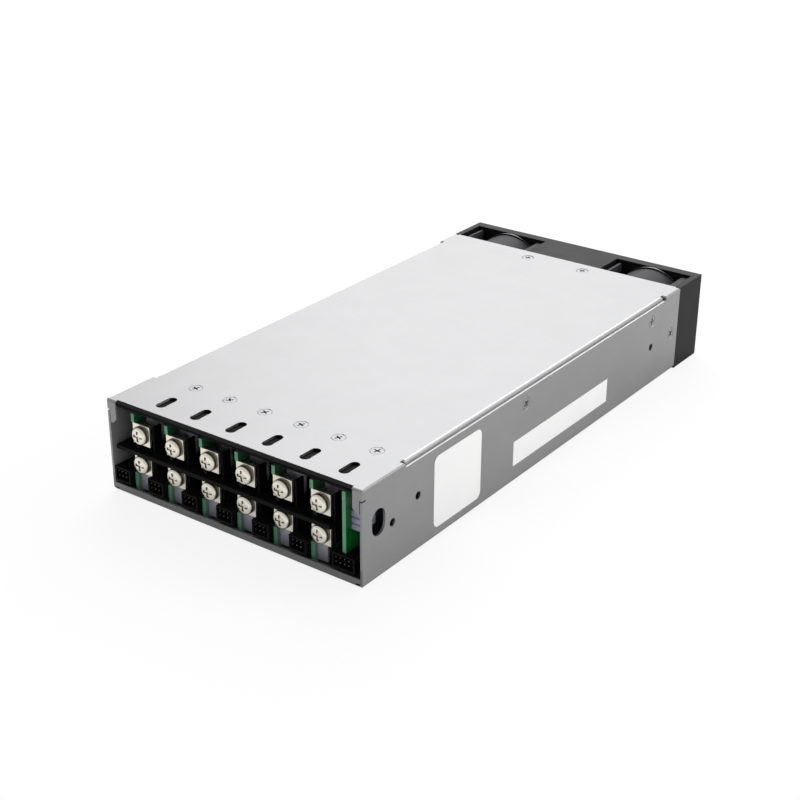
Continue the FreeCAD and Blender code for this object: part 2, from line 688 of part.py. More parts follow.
def make_modules():
    """The output modules and the control board with their connectors."""
    nodes = {"signal_headers": [], "header_pins": [], "output_terminals": [], "terminal_screws": []}
    for number, x in enumerate(SLOTS, 1):
        tag = "_" + str(number)
        nodes["module_board" + tag] = [make_board(x)]
        nodes["terminal_carrier" + tag] = [make_carrier(x)]
        nodes["module_heat_sink" + tag] = [make_sink(x)]
        nodes["module_transformer" + tag] = [make_core(x)]
        corner = x - BOARD_OFFSET - HEADER_W
        nodes["signal_headers"].append(header_body(corner, HEADER_W))
        nodes["header_pins"] += header_pins(corner, HEADER_W, PIN_COLS)
        for row in (0, 1):
            nodes["output_terminals"].append(make_terminal(x, row))
            nodes["terminal_screws"].append(terminal_screw(x, row))
    x = SLOTS[-1]
    z0 = HEADER_Z + HEADER_H
    front = Y0 + CONTROL_FRONT
    z1 = BOARD_TOP + SINK_T / 2.0
    foot = Y0 + HEADER_FRONT + HEADER_D + FIT
    rear = front + CONTROL_L
    outline = [V(CONTROL_X, front, z0), V(CONTROL_X, front, z1), V(CONTROL_X, rear, z1), V(CONTROL_X, rear, SHEET)]
    outline += [V(CONTROL_X, foot, SHEET), V(CONTROL_X, foot, z0)]
    nodes["control_board"] = [plate(outline, V(BOARD_T, 0, 0))]
    nodes["control_header"] = [header_body(x, CONTROL_HEADER_W)]
    nodes["header_pins"] += header_pins(x, CONTROL_HEADER_W, CONTROL_COLS)
    nodes["side_connector"] = [make_plug()]
    return nodes


def assemble():
    nodes = {"chassis": [make_chassis()], "top_cover": [make_cover()], "cover_insulator": [make_liner()]}
    nodes["fan_housing"] = [make_housing()]
    for side, x in (("left", -FAN_X), ("right", FAN_X)):
        nodes["fan_frame_" + side] = [make_fan_frame(x)]
        nodes["fan_rotor_" + side] = [make_rotor(x)]
        nodes["fan_shaft_" + side] = [make_shaft(x)]
    nodes["mains_inlet"] = [make_inlet()]
    nodes["inlet_pins"] = make_inlet_pins()
    nodes.update(make_modules())
    nodes.update(make_power_stage())
    nodes.update(make_labels())
    return nodes


os.makedirs("parts", exist_ok=True)
for name, solids in assemble().items():
    shape = solids[0] if len(solids) == 1 else Part.makeCompound(solids)
    shape.exportStep("parts/" + name + ".step")
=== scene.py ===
"""Looks of the switching power supply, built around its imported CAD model."""

import math

import bmesh
import bpy
from mathutils import Euler, Matrix, Vector


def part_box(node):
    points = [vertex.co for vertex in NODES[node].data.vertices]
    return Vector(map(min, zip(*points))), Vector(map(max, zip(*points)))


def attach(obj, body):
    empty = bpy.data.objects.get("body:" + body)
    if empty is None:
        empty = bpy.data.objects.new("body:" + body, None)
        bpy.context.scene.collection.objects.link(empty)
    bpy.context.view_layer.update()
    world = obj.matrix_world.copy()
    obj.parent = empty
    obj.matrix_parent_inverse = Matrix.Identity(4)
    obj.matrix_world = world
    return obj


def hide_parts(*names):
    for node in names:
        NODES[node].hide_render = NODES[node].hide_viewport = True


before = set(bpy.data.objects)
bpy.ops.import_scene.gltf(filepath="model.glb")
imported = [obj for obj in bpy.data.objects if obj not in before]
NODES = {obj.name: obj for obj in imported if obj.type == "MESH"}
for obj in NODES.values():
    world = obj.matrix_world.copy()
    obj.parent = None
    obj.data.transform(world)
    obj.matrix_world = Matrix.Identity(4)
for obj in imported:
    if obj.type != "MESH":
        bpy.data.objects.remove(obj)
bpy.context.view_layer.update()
MM = 0.001
LID_Z = 41.0
SIDE_X = 63.5
TAB_INNER_X = 58.9


# Small helpers

def hex_colour(code):
    """Linear colour of an sRGB hex value."""
    parts = [int(code[i:i + 2], 16) / 255.0 for i in (1, 3, 5)]
    linear = [c / 12.92 if c <= 0.04045 else ((c + 0.055) / 1.055) ** 2.4 for c in parts]
    return (*linear, 1.0)


def per(size_mm):
    """Texture scale at which one repeat measures size_mm."""
    return 1000.0 / size_mm


def add(tree, kind, inputs=None, **settings):
    """Adds a node, sets its properties and fills its inputs with values or links."""
    made = tree.nodes.new(kind)
    for name, value in settings.items():
        setattr(made, name, value)
    for key, value in (inputs or {}).items():
        if isinstance(value, bpy.types.NodeSocket):
            tree.links.new(value, made.inputs[key])
        else:
            made.inputs[key].default_value = value
    return made


def new_material(name, **sockets):
    """A material with one principled shader; sockets holds its constant values."""
    made = bpy.data.materials.new(name)
    made.use_nodes = True
    tree = made.node_tree
    tree.nodes.clear()
    shader = add(tree, "ShaderNodeBsdfPrincipled")
    for key, value in sockets.items():
        shader.inputs[key.replace("_", " ")].default_value = value
    add(tree, "ShaderNodeOutputMaterial", {"Surface": shader.outputs[0]})
    place = add(tree, "ShaderNodeTexCoord").outputs["Object"]
    return made, tree, shader, place


# Materials

def zinc_plated_steel():
    """Rolled steel sheet with satin zinc plating: soft reflections, faint rolling lines, duller inner walls, painted
    shade on the cover's front edge and the tray's front lip, and a painted highlight along the tops of the bends.
    """
    made, tree, shader, place = new_material("zinc_plated_steel")
    # Rolling lines are about 0.1 mm wide, drawn 0.6 mm wide so that they show.
    lines = add(tree, "ShaderNodeMapping", {"Vector": place, "Scale": (per(0.6), per(45), per(0.6))})
    rolled = add(tree, "ShaderNodeTexNoise", {"Vector": lines.outputs[0], "Scale": 1.0, "Detail": 3.0})
    clouds = add(tree, "ShaderNodeTexNoise", {
        "Vector": place, "Scale": per(22), "Detail": 5.0, "Roughness": 0.6})
    blend = add(tree, "ShaderNodeMix", {0: 0.25, 2: clouds.outputs[0], 3: rolled.outputs[0]})
    tone = add(tree, "ShaderNodeValToRGB", {"Fac": blend.outputs[0]})
    tone.color_ramp.elements[0].position = 0.3
    tone.color_ramp.elements[0].color = hex_colour("#909091")
    tone.color_ramp.elements[1].position = 0.7
    tone.color_ramp.elements[1].color = hex_colour("#979798")
    gloss = add(tree, "ShaderNodeMapRange", {"Value": blend.outputs[0], "To Min": 0.46, "To Max": 0.52})
    dents = add(tree, "ShaderNodeBump", {"Height": rolled.outputs[0], "Strength": 0.05, "Distance": 0.02 * MM})
    # On an inner wall the normal points back to the middle of the tray.
    facing = add(tree, "ShaderNodeSeparateXYZ", {0: add(tree, "ShaderNodeNewGeometry").outputs["Normal"]})
    across = add(tree, "ShaderNodeSeparateXYZ", {0: place})
    outward = add(tree, "ShaderNodeMath", {0: facing.outputs[0], 1: across.outputs[0]}, operation="MULTIPLY")
    inner = add(tree, "ShaderNodeMath", {0: outward.outputs[0], 1: -0.03}, operation="LESS_THAN")
    plating = add(tree, "ShaderNodeMapRange", {"Value": inner.outputs[0], "To Min": 1.0, "To Max": 0.3})
    tree.links.new(plating.outputs[0], shader.inputs["Metallic"])
    # The rolled front edge of the cover, above 39.8 mm and between its corner tabs, is painted dark: painted shade on
    # the front-facing edge.
    frontward = add(tree, "ShaderNodeMapRange", {"Value": facing.outputs[1], "From Min": -0.3, "From Max": -0.5})
    upper = add(tree, "ShaderNodeMath", {0: across.outputs[2], 1: 39.8 * MM}, operation="GREATER_THAN")
    away = add(tree, "ShaderNodeMath", {0: across.outputs[0]}, operation="ABSOLUTE")
    between = add(tree, "ShaderNodeMath", {0: away.outputs[0], 1: TAB_INNER_X * MM}, operation="LESS_THAN")
    edge_shade = add(tree, "ShaderNodeMath", {0: upper.outputs[0], 1: between.outputs[0]}, operation="MULTIPLY")
    edge_shade = add(tree, "ShaderNodeMath", {0: frontward.outputs[0], 1: edge_shade.outputs[0]}, operation="MULTIPLY")
    tone = add(tree, "ShaderNodeMix", {0: edge_shade.outputs[0], 6: tone.outputs[0], 7: hex_colour("#29292a")},
               data_type="RGBA")
    # The front lip, below 8 mm, is greyed with painted shade, where it faces the shadowed floor close in front of it.
    lower = add(tree, "ShaderNodeMath", {0: across.outputs[2], 1: 8.0 * MM}, operation="LESS_THAN")
    lip_shade = add(tree, "ShaderNodeMath", {0: frontward.outputs[0], 1: lower.outputs[0]}, operation="MULTIPLY")
    tone = add(tree, "ShaderNodeMix", {0: lip_shade.outputs[0], 6: tone.outputs[2], 7: hex_colour("#7c7c7d")},
               data_type="RGBA")
    # Between the reliefs, above 36 mm, the start of the cover's bend and the tray's top edge get a painted highlight.
    tilt = add(tree, "ShaderNodeMath", {0: facing.outputs[0]}, operation="ABSOLUTE")
    bend = add(tree, "ShaderNodeMapRange", {"Value": tilt.outputs[0], "From Min": 0.06, "From Max": 0.16})
    ends = add(tree, "ShaderNodeMapRange", {"Value": tilt.outputs[0], "From Min": 0.75, "From Max": 0.5})
    rim = add(tree, "ShaderNodeMath", {0: away.outputs[0], 1: 62.3 * MM}, operation="GREATER_THAN")
    rim = add(tree, "ShaderNodeMath", {0: bend.outputs[0], 1: rim.outputs[0]}, operation="MAXIMUM")
    rim = add(tree, "ShaderNodeMath", {0: rim.outputs[0], 1: ends.outputs[0]}, operation="MULTIPLY")
    raised = add(tree, "ShaderNodeMath", {0: across.outputs[2], 1: 36.0 * MM}, operation="GREATER_THAN")
    upward = add(tree, "ShaderNodeMath", {0: facing.outputs[2], 1: 0.4}, operation="GREATER_THAN")
    raised = add(tree, "ShaderNodeMath", {0: raised.outputs[0], 1: upward.outputs[0]}, operation="MULTIPLY")
    flange = add(tree, "ShaderNodeMath", {0: across.outputs[1], 1: -5.0 * MM, 2: 101.5 * MM}, operation="COMPARE")
    raised = add(tree, "ShaderNodeMath", {0: raised.outputs[0], 1: flange.outputs[0]}, operation="MULTIPLY")
    rim = add(tree, "ShaderNodeMath", {0: rim.outputs[0], 1: raised.outputs[0]}, operation="MULTIPLY")
    tone = add(tree, "ShaderNodeMix", {0: rim.outputs[0], 6: tone.outputs[2], 7: hex_colour("#c6c6c7")},
               data_type="RGBA")
    tree.links.new(tone.outputs[2], shader.inputs["Base Color"])
    tree.links.new(gloss.outputs[0], shader.inputs["Roughness"])
    tree.links.new(dents.outputs[0], shader.inputs["Normal"])
    return made


def satin_metal(name, dark, light, rough, size_mm, metal=1.0):
    """Bare, plated or anodised metal with a fine cloudy finish of the given size."""
    made, tree, shader, place = new_material(name, Metallic=metal)
    grain = add(tree, "ShaderNodeTexNoise", {"Vector": place, "Scale": per(size_mm), "Detail": 4.0})
    tone = add(tree, "ShaderNodeValToRGB", {"Fac": grain.outputs[0]})
    tone.color_ramp.elements[0].position = 0.3
    tone.color_ramp.elements[0].color = hex_colour(dark)
    tone.color_ramp.elements[1].position = 0.7
    tone.color_ramp.elements[1].color = hex_colour(light)
    gloss = add(tree, "ShaderNodeMapRange", {
        "Value": grain.outputs[0], "To Min": rough - 0.06, "To Max": rough + 0.06})
    dents = add(tree, "ShaderNodeBump", {"Height": grain.outputs[0], "Strength": 0.1, "Distance": 0.03 * MM})
    tree.links.new(tone.outputs[0], shader.inputs["Base Color"])
    tree.links.new(gloss.outputs[0], shader.inputs["Roughness"])
    tree.links.new(dents.outputs[0], shader.inputs["Normal"])
    return made


def tin_plating(name, cut_and_shaded_colour, strap_reflection_colour):
    """Tin-plated brass: creamy and bright on pressed fronts; darker on sides and recess walls, as dull cut edges and
    painted shade; below 9.5 mm the straps are duller and take a strap colour, which on the terminal straps is a
    painted reflection of their shaded surroundings.
    """
    made, tree, shader, place = new_material(name)
    facing = add(tree, "ShaderNodeSeparateXYZ", {0: add(tree, "ShaderNodeNewGeometry").outputs["Normal"]})
    front = add(tree, "ShaderNodeMath", {0: facing.outputs[1]}, operation="ABSOLUTE")
    pressed = add(tree, "ShaderNodeMapRange", {"Value": front.outputs[0], "From Min": 0.15, "From Max": 0.6})
    grain = add(tree, "ShaderNodeTexNoise", {"Vector": place, "Scale": per(1.0), "Detail": 4.0})
    bright = add(tree, "ShaderNodeValToRGB", {"Fac": grain.outputs[0]})
    bright.color_ramp.elements[0].position = 0.3
    bright.color_ramp.elements[0].color = hex_colour("#e6e0d2")
    bright.color_ramp.elements[1].position = 0.7
    bright.color_ramp.elements[1].color = hex_colour("#f3eee2")
    height = add(tree, "ShaderNodeSeparateXYZ", {0: place})
    # Below 9.5 mm the straps take the strap colour: on the terminal straps a painted reflection of their shaded
    # surroundings.
    strap = add(tree, "ShaderNodeMapRange", {
        "Value": height.outputs[2], "From Min": 9.2 * MM, "From Max": 9.8 * MM})
    plating = add(tree, "ShaderNodeMapRange", {"Value": strap.outputs[0], "To Min": 0.2, "To Max": 1.0})
    front_tone = add(tree, "ShaderNodeMix", {
        0: strap.outputs[0], 6: hex_colour(strap_reflection_colour), 7: bright.outputs[0]}, data_type="RGBA")
    # Faces that turn away from the front take the side colour: dull cut edges, and painted shade on head sides and
    # recess walls.
    tone = add(tree, "ShaderNodeMix", {
        0: pressed.outputs[0], 6: hex_colour(cut_and_shaded_colour), 7: front_tone.outputs[2]}, data_type="RGBA")
    gloss = add(tree, "ShaderNodeMapRange", {"Value": pressed.outputs[0], "To Min": 0.5, "To Max": 0.3})
    dents = add(tree, "ShaderNodeBump", {"Height": grain.outputs[0], "Strength": 0.1, "Distance": 0.03 * MM})
    tree.links.new(tone.outputs[2], shader.inputs["Base Color"])
    tree.links.new(plating.outputs[0], shader.inputs["Metallic"])
    tree.links.new(gloss.outputs[0], shader.inputs["Roughness"])
    tree.links.new(dents.outputs[0], shader.inputs["Normal"])
    return made


def moulded_plastic(name, dark, light, rough, grit_mm, sheen=0.5, grey_patch=None):
    """Moulded thermoplastic with the fine spark-eroded grain of its tool, which also dulls its sheen."""
    made, tree, shader, place = new_material(name, IOR=1.54, Specular_IOR_Level=sheen)
    grain = add(tree, "ShaderNodeTexVoronoi", {"Vector": place, "Scale": per(grit_mm)})
    flow = add(tree, "ShaderNodeTexNoise", {"Vector": place, "Scale": per(9), "Detail": 3.0})
    tone = add(tree, "ShaderNodeValToRGB", {"Fac": flow.outputs[0]})
    tone.color_ramp.elements[0].position = 0.3
    tone.color_ramp.elements[0].color = hex_colour(dark)
    tone.color_ramp.elements[1].position = 0.7
    tone.color_ramp.elements[1].color = hex_colour(light)
    gloss = add(tree, "ShaderNodeMapRange", {
        "Value": flow.outputs[0], "To Min": rough - 0.05, "To Max": rough + 0.05})
    dents = add(tree, "ShaderNodeBump", {
        "Height": grain.outputs["Distance"], "Strength": 0.12, "Distance": 0.04 * MM})
    colour = tone.outputs[0]
    if grey_patch:
        # A grey patch, mottled by the flow noise, is mixed in high on the rear wall, more than 9 mm behind the front
        # and above 24 mm.
        at = add(tree, "ShaderNodeSeparateXYZ", {0: place})
        deep = add(tree, "ShaderNodeMapRange", {
            "Value": at.outputs[1], "From Min": -124.2 * MM, "From Max": -123.9 * MM})
        high = add(tree, "ShaderNodeMapRange", {
            "Value": at.outputs[2], "From Min": 24.0 * MM, "From Max": 30.0 * MM})
        share = add(tree, "ShaderNodeMath", {0: deep.outputs[0], 1: high.outputs[0]}, operation="MULTIPLY")
        cloudy = add(tree, "ShaderNodeMapRange", {"Value": flow.outputs[0], "From Min": 0.3, "From Max": 0.6})
        share = add(tree, "ShaderNodeMath", {0: share.outputs[0], 1: cloudy.outputs[0]}, operation="MULTIPLY")
        greyed = add(tree, "ShaderNodeMix", {0: share.outputs[0], 6: colour, 7: hex_colour(grey_patch)}, data_type="RGBA")
        colour = greyed.outputs[2]
    tree.links.new(colour, shader.inputs["Base Color"])
    tree.links.new(gloss.outputs[0], shader.inputs["Roughness"])
    tree.links.new(dents.outputs[0], shader.inputs["Normal"])
    return made


def circuit_laminate(name, greens, banded=False):
    """Glass-epoxy board: green solder mask over copper on its faces, paler bare laminate on its cut edges."""
    made, tree, shader, place = new_material(name, IOR=1.5)
    facing = add(tree, "ShaderNodeSeparateXYZ", {0: add(tree, "ShaderNodeNewGeometry").outputs["Normal"]})
    side = add(tree, "ShaderNodeMath", {0: facing.outputs[0]}, operation="ABSOLUTE")
    face = add(tree, "ShaderNodeMath", {0: side.outputs[0], 1: 0.5}, operation="GREATER_THAN")
    # Copper tracks about 1.5 mm wide show through the mask as a lighter green.
    tracks = add(tree, "ShaderNodeTexBrick", {
        "Vector": place, "Scale": per(6), "Mortar Size": 0.12, "Mortar Smooth": 0.2})
    for socket, green in zip(("Color1", "Color2", "Mortar"), greens):
        tracks.inputs[socket].default_value = hex_colour(green)
    weave = add(tree, "ShaderNodeTexNoise", {"Vector": place, "Scale": per(1.2), "Detail": 3.0})
    cut = add(tree, "ShaderNodeValToRGB", {"Fac": weave.outputs[0]})
    cut.color_ramp.elements[0].color = hex_colour("#4f8a66")
    cut.color_ramp.elements[1].color = hex_colour("#74a888")
    mask = tracks.outputs[0]
    if banded:
        # A tinned earth band below 10 mm shows pale through the mask.
        height = add(tree, "ShaderNodeSeparateXYZ", {0: place})
        low_band = add(tree, "ShaderNodeMapRange", {
            "Value": height.outputs[2], "From Min": 10.2 * MM, "From Max": 9.8 * MM})
        paled = add(tree, "ShaderNodeMix", {
            0: low_band.outputs[0], 6: mask, 7: hex_colour("#6f9482")}, data_type="RGBA")
        mask = paled.outputs[2]
    tone = add(tree, "ShaderNodeMix", {0: face.outputs[0], 6: cut.outputs[0], 7: mask}, data_type="RGBA")
    if banded:
        # Painted shade of the carrier's shelf: the board is coloured black from 20.55 to 23.05 mm, where it passes
        # through the shelf.
        shelf_shade = add(tree, "ShaderNodeMath", {0: height.outputs[2], 1: 21.8 * MM, 2: 1.25 * MM}, operation="COMPARE")
        tone = add(tree, "ShaderNodeMix", {0: shelf_shade.outputs[0], 6: tone.outputs[2], 7: hex_colour("#0a0a0a")},
                   data_type="RGBA")
    gloss = add(tree, "ShaderNodeMapRange", {"Value": face.outputs[0], "To Min": 0.6, "To Max": 0.32})
    dents = add(tree, "ShaderNodeBump", {"Height": tracks.outputs["Fac"], "Strength": 0.15, "Distance": 0.03 * MM})
    tree.links.new(tone.outputs[2], shader.inputs["Base Color"])
    tree.links.new(gloss.outputs[0], shader.inputs["Roughness"])
    tree.links.new(dents.outputs[0], shader.inputs["Normal"])
    return made


def label_film():
    """White polyester label film: even, slightly glossy, with the faint waviness of a stuck film."""
    made, tree, shader, place = new_material("white_label_film", IOR=1.5)
    waves = add(tree, "ShaderNodeTexNoise", {"Vector": place, "Scale": per(14), "Detail": 2.0})
    tone = add(tree, "ShaderNodeValToRGB", {"Fac": waves.outputs[0]})
    tone.color_ramp.elements[0].color = hex_colour("#ececec")
    tone.color_ramp.elements[1].color = hex_colour("#f4f4f3")
    gloss = add(tree, "ShaderNodeMapRange", {"Value": waves.outputs[0], "To Min": 0.36, "To Max": 0.46})
    dents = add(tree, "ShaderNodeBump", {"Height": waves.outputs[0], "Strength": 0.06, "Distance": 0.05 * MM})
    tree.links.new(tone.outputs[0], shader.inputs["Base Color"])
    tree.links.new(gloss.outputs[0], shader.inputs["Roughness"])
    tree.links.new(dents.outputs[0], shader.inputs["Normal"])
    return made


STEEL = zinc_plated_steel()
SCREW_ZINC = satin_metal("dull_zinc_screw", "#878788", "#939394", 0.46, 1.5)
# The dark side colour here is painted shade on the screw heads' side walls and recess walls.
TIN = tin_plating("tin_plated_brass", "#645f55", "#e6e0d2")
# The bluish grey below 9.5 mm is a painted reflection of the straps' shaded surroundings.
PLATE_TIN = tin_plating("tin_plated_strap", "#b3afa4", "#aaaab8")
PIN_TIN = satin_metal("tinned_pin", "#6b6862", "#7d7a73", 0.4, 0.6)
SHAFT_STEEL = satin_metal("ground_steel", "#9fa1a3", "#b8babb", 0.22, 0.8)
ALUMINIUM = satin_metal("rolled_aluminium", "#9ea1a6", "#b4b7bb", 0.4, 3.0)
SLATE_ALUMINIUM = satin_metal("slate_anodised_aluminium", "#7d7f92", "#8f91a5", 0.46, 2.0, 0.4)
HOUSING_BLACK = moulded_plastic("glass_filled_nylon", "#0a0a0a", "#0f0f0f", 0.55, 0.5, 0.14)
RIM_BLACK = moulded_plastic("polished_nylon_rim", "#101010", "#161616", 0.24, 0.8, 0.6)
FAN_BLACK = moulded_plastic("fan_pbt", "#37373a", "#404043", 0.58, 0.4, 0.13)
CARRIER_BLACK = moulded_plastic("carrier_pbt", "#060606", "#0b0a0a", 0.6, 0.4, 0.09, "#b4b2bc")
CONNECTOR_BLACK = moulded_plastic("connector_nylon", "#060606", "#0b0a0b", 0.6, 0.3, 0.08)
CONNECTOR_GREY = moulded_plastic("pale_grey_nylon", "#8d90a2", "#a3a6b6", 0.4, 0.4)
LINER_BLACK = moulded_plastic("black_polycarbonate_sheet", "#050505", "#0a0a0a", 0.6, 0.6, 0.05)
FERRITE = moulded_plastic("dark_ferrite", "#2b2b2d", "#38383a", 0.6, 0.5)
SLEEVE = moulded_plastic("shrunk_pvc_sleeve", "#15161a", "#1d1f25", 0.3, 0.8)
BOARD = circuit_laminate("glass_epoxy_board", ("#0f7a2b", "#138a33", "#0b6523"))
MODULE_BOARD = circuit_laminate("tinned_glass_epoxy_board", ("#2a5c3a", "#2f6640", "#245033"), True)
LABEL = label_film()


# Mesh helpers

def merged(node):
    """The CAD node's faces as one joined mesh with flat faces whole."""
    made = bmesh.new()
    made.from_mesh(NODES[node].data)
    bmesh.ops.remove_doubles(made, verts=made.verts, dist=0.002 * MM)
    bmesh.ops.dissolve_limit(made, angle_limit=math.radians(0.5), verts=made.verts, edges=made.edges)
    return made


def lathe(profile, steps):
    """A body turned about Z from (radius, height) points in mm, from the top of the axis to its bottom."""
    made = bmesh.new()
    rings = []
    for radius, height in profile:
        if radius == 0:
            rings.append([made.verts.new((0, 0, height * MM))])
            continue
        turns = [2 * math.pi * k / steps for k in range(steps)]
        points = [(radius * MM * math.cos(a), radius * MM * math.sin(a), height * MM) for a in turns]
        rings.append([made.verts.new(point) for point in points])
    for upper, lower in zip(rings, rings[1:]):
        for k in range(steps):
            n = (k + 1) % steps
            corners = [upper[k % len(upper)], lower[k % len(lower)], lower[n % len(lower)], upper[n % len(upper)]]
            corners = list(dict.fromkeys(corners))
            if len(corners) > 2:
                made.faces.new(corners)
    bmesh.ops.recalc_face_normals(made, faces=made.faces)
    return made


def new_object(name, made):
    """An object from a bmesh, linked to the scene."""
    mesh = bpy.data.meshes.new(name)
    made.to_mesh(mesh)
    made.free()
    obj = bpy.data.objects.new(name, mesh)
    bpy.context.scene.collection.objects.link(obj)
    return obj


def settle(obj):
    """Puts the modifiers' result into the mesh and removes them."""
    graph = bpy.context.evaluated_depsgraph_get()
    mesh = bpy.data.meshes.new_from_object(obj.evaluated_get(graph))
    obj.modifiers.clear()
    obj.data = mesh
    return obj


def carve(obj, cutter):
    """Cuts one object out of another."""
    knife = obj.modifiers.new("cut", "BOOLEAN")
    knife.object = cutter
    knife.operation = "DIFFERENCE"
    knife.solver = "EXACT"
    settle(obj)
    bpy.data.objects.remove(cutter)
    return obj


def soften(obj, width_mm, segments=2, angle=35):
    """Rounds the sharp edges a little, as a press, a tool or a deburring wheel leaves them."""
    edge = obj.modifiers.new("edge", "BEVEL")
    edge.width = width_mm * MM
    edge.segments = segments
    edge.limit_method = "ANGLE"
    edge.angle_limit = math.radians(angle)
    edge.use_clamp_overlap = True
    edge.harden_normals = False
    return settle(obj)


def finish_piece(obj, material, body="supply", replaces=(), smooth=32):
    """Gives a piece its material and shading and lets it ride on its body."""
    obj.data.materials.clear()
    obj.data.materials.append(material)
    obj.data.polygons.foreach_set("use_smooth", [True] * len(obj.data.polygons))
    obj.data.set_sharp_from_angle(angle=math.radians(smooth))
    even = obj.modifiers.new("even", "WEIGHTED_NORMAL")
    even.keep_sharp = True
    even.weight = 100
    settle(obj)
    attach(obj, body)
    if replaces:
        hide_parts(*replaces)
    return obj


def instancer(name):
    """Geometry Nodes tree that sets one part on each point of a mesh, turned to face a side."""
    tree = bpy.data.node_groups.new(name, "GeometryNodeTree")
    tree.interface.new_socket("Geometry", in_out="INPUT", socket_type="NodeSocketGeometry")
    sockets = {}
    for label, kind in (("Part", "NodeSocketObject"), ("Facing", "NodeSocketRotation"), ("Turn", "NodeSocketFloat"),
                        ("Turn Spread", "NodeSocketFloat"), ("Size", "NodeSocketFloat"), ("Seed", "NodeSocketInt"),
                        ("Material", "NodeSocketMaterial")):
        sockets[label] = tree.interface.new_socket(label, in_out="INPUT", socket_type=kind).identifier
    tree.interface.new_socket("Geometry", in_out="OUTPUT", socket_type="NodeSocketGeometry")
    given = add(tree, "NodeGroupInput").outputs
    part = add(tree, "GeometryNodeObjectInfo", {"Object": given["Part"]})
    low = add(tree, "ShaderNodeMath", {0: given["Turn"], 1: given["Turn Spread"]}, operation="SUBTRACT")
    high = add(tree, "ShaderNodeMath", {0: given["Turn"], 1: given["Turn Spread"]}, operation="ADD")
    turn = add(tree, "FunctionNodeRandomValue", {
        2: low.outputs[0], 3: high.outputs[0], "Seed": given["Seed"]}, data_type="FLOAT")
    spin = add(tree, "FunctionNodeAxisAngleToRotation", {"Axis": (0, 0, 1), "Angle": turn.outputs[1]})
    stand = add(tree, "FunctionNodeRotateRotation", {
        0: given["Facing"], 1: spin.outputs[0]}, rotation_space="LOCAL")
    placed = add(tree, "GeometryNodeInstanceOnPoints", {
        "Points": given["Geometry"], "Instance": part.outputs["Geometry"],
        "Rotation": stand.outputs[0], "Scale": given["Size"]})
    real = add(tree, "GeometryNodeRealizeInstances", {0: placed.outputs[0]})
    painted = add(tree, "GeometryNodeSetMaterial", {"Geometry": real.outputs[0], "Material": given["Material"]})
    add(tree, "NodeGroupOutput", {0: painted.outputs[0]})
    return tree, sockets


PLACER, PLACER_SOCKETS = instancer("part_on_points")


def set_on_points(name, part, points_mm, facing, material, turn=0.0, spread=0.0, seed=7):
    """One mesh of a part repeated on points, facing a side given as Euler angles in degrees."""
    cloud = bmesh.new()
    for p in points_mm:
        cloud.verts.new(Vector(p) * MM)
    obj = new_object(name, cloud)
    maker = obj.modifiers.new("repeat", "NODES")
    maker.node_group = PLACER
    values = {"Part": part, "Facing": Euler([math.radians(a) for a in facing]), "Turn": math.radians(turn),
              "Turn Spread": math.radians(spread), "Size": 1.0, "Seed": seed, "Material": material}
    for label, value in values.items():
        maker[PLACER_SOCKETS[label]] = value
    return settle(obj)


def join_meshes(name, parts):
    """One bmesh object from several bmeshes."""
    made = bmesh.new()
    for part in parts:
        mesh = bpy.data.meshes.new("part")
        part.to_mesh(mesh)
        part.free()
        made.from_mesh(mesh)
        bpy.data.meshes.remove(mesh)
    return new_object(name, made)


def moved(made, place_mm, facing=(0, 0, 0)):
    """A bmesh turned and set down at a place."""
    turn = Euler([math.radians(a) for a in facing]).to_matrix().to_4x4()
    made.transform(Matrix.Translation(Vector(place_mm) * MM) @ turn)
    return made


def tapered_bar(length, width, depth, end_depth):
    """Wedge-ended bar along X for a cross recess, with its top at z 0.3 mm above the head."""
    made = bmesh.new()
    top = 0.3
    half = length / 2
    flat = half * 0.35
    outline = [(-half, top), (-half, -end_depth), (-flat, -depth), (flat, -depth), (half, -end_depth), (half, top)]
    sides = [[made.verts.new((x * MM, s * width / 2 * MM, z * MM)) for x, z in outline] for s in (-1, 1)]
    made.faces.new(sides[0])
    made.faces.new(sides[1][::-1])
    for k in range(len(outline)):
        n = (k + 1) % len(outline)
        made.faces.new([sides[0][k], sides[1][k], sides[1][n], sides[0][n]])
    bmesh.ops.recalc_face_normals(made, faces=made.faces)
    return made


def cross_recess(head, top, length, width, depth, end_depth):
    """Cuts a cross recess into the top of a screw head."""
    for turn in (0, 90):
        bar = moved(tapered_bar(length, width, depth, end_depth), (0, 0, top), (0, 0, turn))
        carve(head, new_object("recess", bar))
    return head


# Positions that several pieces share, in mm

SLOT_FROM_BOARD = 12.1
SLOTS = [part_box("module_board_" + str(number))[0].x / MM + SLOT_FROM_BOARD for number in range(1, 7)]
FRONT_SCREW_Y = -105.4
REAR_SCREW_X = 15.3
REAR_SCREW_Y = 103.2
LID_SCREWS = [(x, FRONT_SCREW_Y, LID_Z) for x in SLOTS]
LID_SCREWS += [(x, REAR_SCREW_Y, LID_Z) for x in (-REAR_SCREW_X, REAR_SCREW_X)]
SIDE_SCREWS = [(-23.9, 33.0), (84.1, 33.0), (104.4, 20.3)]
TERMINAL_Z = (27.5, 14.6)
TERMINAL_FROM_SLOT = -7.55
PLATE_FRONT_Y = -129.75
FAN_X = 40.5
FAN_Z = 20.5
BLADES = 7
RIM_INNER = 19.65
RIM_OUTER = 20.4
RIM_PROUD = 1.2
FAN_REAR_GAP = 0.3


# Sheet metal with its countersunk screws

def countersink():
    """Cutter for the dished hole round a countersunk head, its top at z 0."""
    return lathe([(0, 0.2), (3.15, 0.2), (3.0, 0), (1.8, -1.02), (1.8, -1.3), (0, -1.3)], 40)


def screw_head():
    """Countersunk head with a cross recess, its top 0.06 mm under the sheet."""
    top = -0.06
    profile = [(0, top), (2.45, top), (2.66, -0.1), (2.74, -0.2), (1.65, -1.05), (1.65, -1.6), (0, -1.6)]
    head = new_object("countersunk_head", lathe(profile, 40))
    return cross_recess(head, top, length=3.2, width=0.7, depth=0.6, end_depth=0.3)


